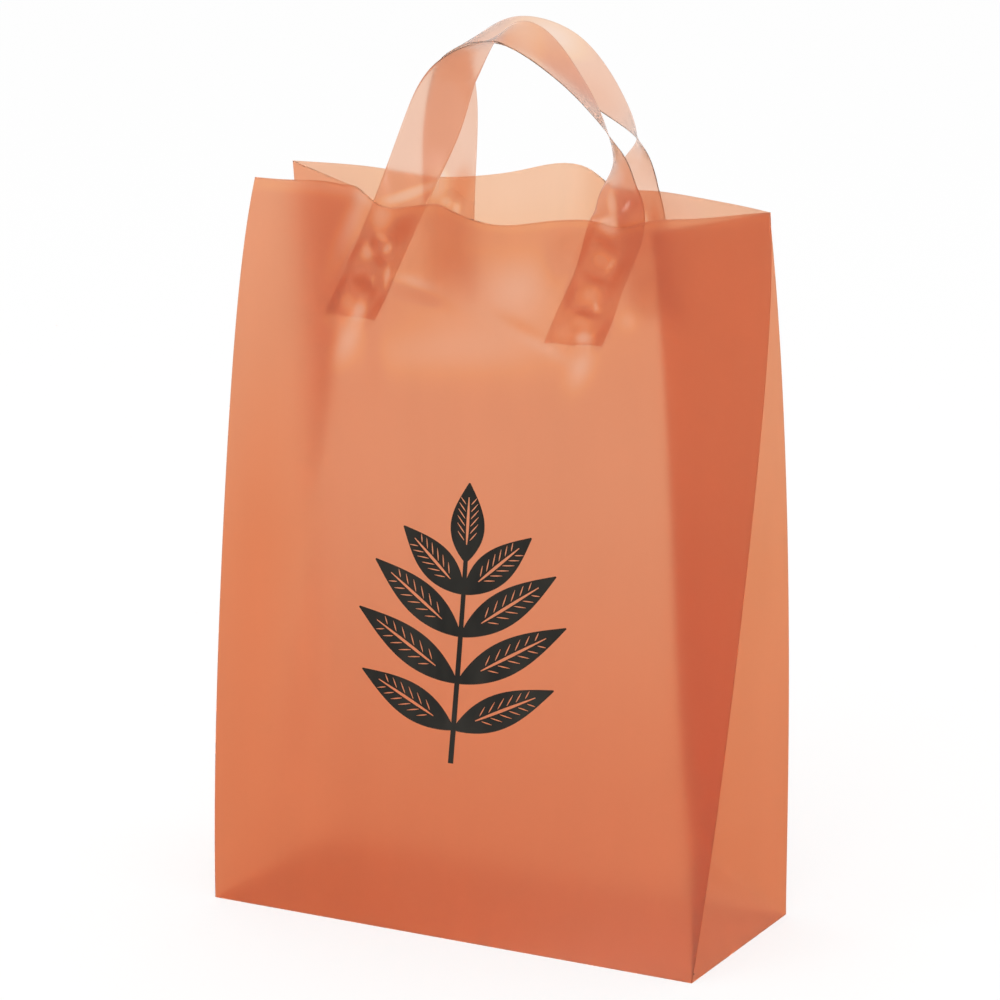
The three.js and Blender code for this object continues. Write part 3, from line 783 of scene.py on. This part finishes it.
def sprig_outlines():
    """The outlines of the stem and the leaves, and those of the bare veins in them."""
    half, top = STEM_WIDTH / 2, STEM_WIDTH / 2 * STEM_TAPER
    stem = np.array([(-half, 0), (half, 0), (top, STEM_LENGTH), (-top, STEM_LENGTH)])
    inked, bare = [stem], []
    for at, share, angle in LEAF_PAIRS:
        for sign in (-1, 1):
            outline, veins = leaf(at * STEM_LENGTH, share * LEAF_LENGTH, sign * angle)
            inked.append(outline)
            bare += veins
    outline, veins = leaf(TOP_LEAF_AT * STEM_LENGTH, TOP_LEAF_LENGTH, 0.0)
    return inked + [outline], bare + veins


def within(points, outline):
    """Which points lie inside a closed outline."""
    a, b = outline, np.roll(outline, -1, axis=0)
    x, y = points[:, :1], points[:, 1:]
    rise = np.where(b[:, 1] == a[:, 1], TINY, b[:, 1] - a[:, 1])
    crossing = (a[:, 1] > y) != (b[:, 1] > y)
    at = a[:, 0] + (y - a[:, 1]) * (b[:, 0] - a[:, 0]) / rise
    return (crossing & (x < at)).sum(-1) % 2 == 1


def sprig(material):
    """The print as a thin closed skin of ink that follows the panel."""
    inked, bare = sprig_outlines()
    points, edges = [], []
    for outline in inked + bare:
        first = len(points)
        points += outline.tolist()
        edges += [(first + i, first + (i + 1) % len(outline)) for i in range(len(outline))]
    low, high = np.min(np.concatenate(inked), axis=0), np.max(np.concatenate(inked), axis=0)
    for x in np.arange(low[0], high[0], INK_GRID):
        points += [(x, y) for y in np.arange(low[1], high[1], INK_GRID)]
    flat, _, faces, *_ = delaunay_2d_cdt([Vector(p) for p in points], edges, [], 0, SAME_POINT)
    flat = np.array([tuple(p) for p in flat])
    faces = np.array([tuple(f) for f in faces])
    middle = flat[faces].mean(1)
    keep = np.any([within(middle, outline) for outline in inked], axis=0)
    keep &= ~np.any([within(middle, outline) for outline in bare], axis=0)
    faces = faces[keep]
    used, faces = np.unique(faces, return_inverse=True)
    flat, faces = flat[used], faces.reshape(-1, 3)
    place = (PRINT_ACROSS + flat[:, 0], PRINT_FOOT + flat[:, 1])
    under, over = (on_panel("front", *place, off) for off in (INK_OFF, INK_OFF + INK))
    count = len(flat)
    sides = np.concatenate([faces[:, [0, 1]], faces[:, [1, 2]], faces[:, [2, 0]]])
    known = {tuple(e) for e in sides.tolist()}
    border = [(a, b) for a, b in known if (b, a) not in known]
    walls = [(a, b, b + count, a + count) for a, b in sorted(border)]
    skin = [tuple(f + count) for f in faces] + [tuple(f[::-1]) for f in faces] + walls
    piece = new_mesh("sprig_print", np.concatenate([under, over]), skin, material, smooth=False)
    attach(piece, "root")
    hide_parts("printed_sprig")


# Fused film's colour, and that of painted shade, is the tint to this power, and the painted sheen has a
# colour of its own
FUSED_AND_SHADE_POWER = 1.5
PAINTED_SHEEN = (0.98, 0.87, 0.82)
# What the tint is multiplied by for the painted light that lifts the gussets' shade, and for the painted
# shade at the foot of the bag
PAINTED_LIFT_TINT = (1.055, 1.1, 1.04)
PAINTED_FOOT_SHADE = (0.96, 0.81, 0.71)
# The height at which the painted shade at the foot has faded out
FOOT_SHADE_HEIGHT = 300.0
# Faint lines that the film is drawn with, by their number in a metre each way
DRAWN = (60.0, 60.0, 3.0)
DRAWN_DETAIL, DRAWN_ROUGHNESS = 3.0, 0.6
# Clouds and grain of the film: how many there are in a metre, and how much finer detail they have
CLOUDS, CLOUD_DETAIL = 7.0, 3.0
GRAIN, GRAIN_DETAIL = 900.0, 2.0
# The clouds and lines together that count as darkest and as palest
FAINT, STRONG = 0.6, 1.4
# How much the roughness varies, and the depth of the grain in metres and its strength
ROUGHNESS_SPREAD = 0.1
GRAIN_DEPTH, GRAIN_STRENGTH = 0.0002, 0.05
FILM_IOR = 1.06
# Each film: tint, share of light let through, roughness, strength of its streaks, and its coat's share
# and roughness
BODY_LOOK = ((0.88, 0.545, 0.39), 0.945, 0.85, 0.05, 0.3, 0.32)
STRAP_LOOK = ((0.905, 0.595, 0.455), 0.985, 0.35, 0.06, 0.6, 0.22)
# Numbers of a Mix node's colour sockets
MIX_A, MIX_B, MIXED = 6, 7, 2


class Nodes:
    """A short way to make a material's nodes and links."""

    def __init__(self, name):
        self.material = bpy.data.materials.new(name)
        self.material.use_nodes = True
        self.tree = self.material.node_tree
        self.tree.nodes.clear()

    def add(self, kind, inputs=None, **properties):
        """A node. Its properties come first, because they can change which inputs it has."""
        node = self.tree.nodes.new("ShaderNode" + kind)
        for name, value in properties.items():
            setattr(node, name, value)
        for name, value in (inputs or {}).items():
            node.inputs[name].default_value = value
        return node

    def link(self, source, out, target, into):
        """Links an output to an input, each by its name or number."""
        self.tree.links.new(source.outputs[out], target.inputs[into])

    def stretched(self, place, scale):
        """Places stretched by a scale each way."""
        node = self.add("Mapping", {"Scale": scale})
        self.link(place, "Object", node, "Vector")
        return node

    def noise(self, place, out, scale, detail, roughness=0.5):
        """A noise over places."""
        node = self.add("TexNoise", {"Scale": scale, "Detail": detail, "Roughness": roughness})
        self.link(place, out, node, "Vector")
        return node

    def maths(self, operation, first, first_out, second, second_out):
        """Two outputs joined by an operation, such as a sum."""
        node = self.add("Math", operation=operation)
        self.link(first, first_out, node, 0)
        self.link(second, second_out, node, 1)
        return node

    def spread(self, source, out, low, high, start=0.0, end=1.0, **properties):
        """An output's values from start to end, spread from low to high."""
        ends = {"From Min": start, "From Max": end, "To Min": low, "To Max": high}
        node = self.add("MapRange", ends, **properties)
        self.link(source, out, node, "Value")
        return node

    def ramp(self, source, out, *stops):
        """Colours that follow an output, from stops of a place and a colour."""
        node = self.add("ValToRGB")
        elements = node.color_ramp.elements
        for place, _ in stops[1:-1]:
            elements.new(place)
        for element, (place, colour) in zip(elements, stops):
            element.position = place
            element.color = (*colour, 1)
        self.link(source, out, node, "Fac")
        return node

    def multiplied(self, first, first_out, second, second_out):
        """Two colours multiplied."""
        node = self.add("Mix", {0: 1.0}, data_type="RGBA", blend_type="MULTIPLY")
        self.link(first, first_out, node, MIX_A)
        self.link(second, second_out, node, MIX_B)
        return node

    def bumps(self, height, strength, distance):
        """Relief in the shading, from a noise."""
        node = self.add("Bump", {"Strength": strength, "Distance": distance})
        self.link(height, "Fac", node, "Height")
        return node

    def finished(self, shader, out):
        """The material, with a shader on its surface."""
        self.link(shader, out, self.add("OutputMaterial"), "Surface")
        return self.material


def film_colour(m, place, clouds, tint, streak):
    """The film's colour: its tone, with fused film, painted sheen and painted shade, the painted shade
    towards the foot, and the clouds and lines in it.
    """
    marks = m.add("Attribute", attribute_name="tone")
    tone = m.spread(marks, "Fac", 0.0, 1.0, start=-1.0)
    # The tone runs from fused film and painted shade, through the plain tint and the painted light of the
    # gussets, to the pale painted sheen
    toned = m.ramp(
        tone, "Result",
        (0.0, [v**FUSED_AND_SHADE_POWER for v in tint]),
        (0.5, tint),
        (0.5 + GUSSET_PAINTED_LIFT / 2, [v * more for v, more in zip(tint, PAINTED_LIFT_TINT)]),
        (1.0, PAINTED_SHEEN),
    )
    # Painted shade: the film darkens towards the foot of the bag
    height = m.add("SeparateXYZ")
    m.link(place, "Object", height, "Vector")
    rise = m.spread(height, "Z", 0.0, 1.0, end=FOOT_SHADE_HEIGHT * MM, interpolation_type="SMOOTHSTEP")
    foot = m.ramp(rise, "Result", (0.0, PAINTED_FOOT_SHADE), (1.0, (1, 1, 1)))
    shaded = m.multiplied(toned, "Color", foot, "Color")
    lines = m.noise(m.stretched(place, DRAWN), "Vector", 1.0, DRAWN_DETAIL, DRAWN_ROUGHNESS)
    streaks = m.maths("ADD", clouds, "Fac", lines, "Fac")
    faint = m.spread(streaks, "Value", 1 - streak, 1.0, FAINT, STRONG)
    return m.multiplied(shaded, MIXED, faint, "Result")


def frosted_film(name, tint, clear, roughness, streak, coat, coat_roughness):
    """Frosted film: it tints and blurs what is behind it, with a soft sheen on its face."""
    m = Nodes(name)
    place = m.add("TexCoord")
    clouds = m.noise(place, "Object", CLOUDS, CLOUD_DETAIL)
    grain = m.noise(place, "Object", GRAIN, GRAIN_DETAIL)
    low, high = roughness * (1 - ROUGHNESS_SPREAD), roughness * (1 + ROUGHNESS_SPREAD)
    film = m.add("BsdfPrincipled", {
        "IOR": FILM_IOR, "Transmission Weight": clear,
        "Coat Weight": coat, "Coat Roughness": coat_roughness,
    })
    m.link(film_colour(m, place, clouds, tint, streak), MIXED, film, "Base Color")
    m.link(m.spread(clouds, "Fac", low, high), "Result", film, "Roughness")
    m.link(m.bumps(grain, GRAIN_STRENGTH, GRAIN_DEPTH), "Normal", film, "Normal")
    return m.finished(film, "BSDF")


# The ink: how its streaks are stretched, how many there are and their detail, its darkest and palest
# colours with their places in the streaks, its roughness between them, and its grain
INK_STRETCH = (14.0, 14.0, 5.0)
INK_STREAKS, INK_DETAIL, INK_FINENESS = 3.0, 4.0, 0.6
INK_DARK = (0.35, (0.007, 0.006, 0.004))
INK_PALE = (0.75, (0.022, 0.019, 0.014))
INK_ROUGHNESS = (0.34, 0.5)
INK_GRAIN, INK_GRAIN_DETAIL = 1500.0, 1.0
INK_GRAIN_STRENGTH, INK_GRAIN_DEPTH = 0.1, 0.00005
INK_IOR = 1.28


def black_ink():
    """Printed black ink: nearly flat, with a soft grey sheen that runs in faint streaks."""
    m = Nodes("black_ink")
    place = m.add("TexCoord")
    streaks = m.noise(m.stretched(place, INK_STRETCH), "Vector", INK_STREAKS, INK_DETAIL, INK_FINENESS)
    grain = m.noise(place, "Object", INK_GRAIN, INK_GRAIN_DETAIL)
    ink = m.add("BsdfPrincipled", {"IOR": INK_IOR})
    m.link(m.ramp(streaks, "Fac", INK_DARK, INK_PALE), "Color", ink, "Base Color")
    m.link(m.spread(streaks, "Fac", *INK_ROUGHNESS), "Result", ink, "Roughness")
    m.link(m.bumps(grain, INK_GRAIN_STRENGTH, INK_GRAIN_DEPTH), "Normal", ink, "Normal")
    return m.finished(ink, "BSDF")


# The floor's own colour, and how much of plain white is mixed in where it is seen
FLOOR_COLOUR = (0.95, 0.95, 0.95, 1)
FLOOR_WHITE = 0.7


def white_floor():
    """A pale floor that shows nearly white when it is seen, with the object's soft shadow on it."""
    m = Nodes("floor_white")
    diffuse = m.add("BsdfDiffuse", {"Color": FLOOR_COLOUR})
    white = m.add("Emission", {"Strength": 1.0})
    ray = m.add("LightPath")
    seen = m.maths("MAXIMUM", ray, "Is Camera Ray", ray, "Is Glossy Ray")
    seen = m.maths("MAXIMUM", seen, "Value", ray, "Is Transmission Ray")
    share = m.add("Math", {1: FLOOR_WHITE}, operation="MULTIPLY")
    m.link(seen, "Value", share, 0)
    mix = m.add("MixShader")
    m.link(share, "Value", mix, 0)
    m.link(diffuse, "BSDF", mix, 1)
    m.link(white, "Emission", mix, 2)
    return m.finished(mix, "Shader")


# The camera, at the photograph's viewing angle
CAMERA_AZIMUTH = 27.769
CAMERA_ELEVATION = 13.769
CAMERA_DISTANCE = 2300.0
CAMERA_TARGET = (0.656, 0.0, 240.794)
CAMERA_LENS = 147.24
SENSOR = 36.0
CAMERA_REACH = 100.0
# The lights: place, width and height in metres, and power in watts
KEY_LIGHT = ((0.9, -2.2, 2.4), (1.6, 1.6), 20.0)
SHEEN_LIGHT = ((-1.15, -2.3, 0.75), (0.7, 0.7), 9.0)
# The place that both light, in metres
LIT = (0.0, 0.0, 0.24)
# The floor's size and how far it lies under the bag, in metres
FLOOR_SIZE, FLOOR_DROP = 40.0, 0.0002
# Bounces of light: through the layers of film that lie behind each other, and elsewhere
LAYER_BOUNCES, OTHER_BOUNCES = 10, 2


def camera():
    """The camera, turned towards its target."""
    data = bpy.data.cameras.new("camera")
    data.lens = CAMERA_LENS
    data.sensor_width = SENSOR
    data.clip_end = CAMERA_REACH
    eye = bpy.data.objects.new("camera", data)
    bpy.context.scene.collection.objects.link(eye)
    a, e = math.radians(CAMERA_AZIMUTH), math.radians(CAMERA_ELEVATION)
    back = np.array([math.sin(a) * math.cos(e), -math.cos(a) * math.cos(e), math.sin(e)])
    eye.location = (np.array(CAMERA_TARGET) + back * CAMERA_DISTANCE) * MM
    eye.rotation_euler = (math.pi / 2 - e, 0.0, a)
    bpy.context.scene.camera = eye


def area_light(name, place, size, power):
    """A soft rectangular lamp that faces the bag."""
    data = bpy.data.lights.new(name, "AREA")
    data.shape = "RECTANGLE"
    data.size, data.size_y = size
    data.energy = power
    lamp = bpy.data.objects.new(name, data)
    bpy.context.scene.collection.objects.link(lamp)
    lamp.location = place
    x, y, z = np.array(LIT) - np.array(place)
    lamp.rotation_euler = (math.atan2(math.hypot(x, y), -z), 0.0, math.atan2(x, -y) + math.pi)


def studio():
    """White surroundings, a pale floor and two soft lamps."""
    world = bpy.data.worlds.new("world")
    world.use_nodes = True
    background = world.node_tree.nodes["Background"]
    background.inputs["Color"].default_value = (1, 1, 1, 1)
    background.inputs["Strength"].default_value = 1.0
    bpy.context.scene.world = world
    bpy.ops.mesh.primitive_plane_add(size=FLOOR_SIZE, location=(0, 0, -FLOOR_DROP))
    floor = bpy.context.object
    floor.name = "floor"
    floor.data.materials.append(white_floor())
    area_light("key", *KEY_LIGHT)
    area_light("sheen", *SHEEN_LIGHT)


camera()
studio()
body_film(frosted_film("body_film", *BODY_LOOK))
strap_material = frosted_film("strap_film", *STRAP_LOOK)
strap("front", strap_material)
strap("back", strap_material)
sprig(black_ink())

scene = bpy.context.scene
scene.view_settings.view_transform = "Standard"
scene.cycles.max_bounces = LAYER_BOUNCES
scene.cycles.transmission_bounces = LAYER_BOUNCES
scene.cycles.diffuse_bounces = OTHER_BOUNCES
scene.cycles.glossy_bounces = OTHER_BOUNCES
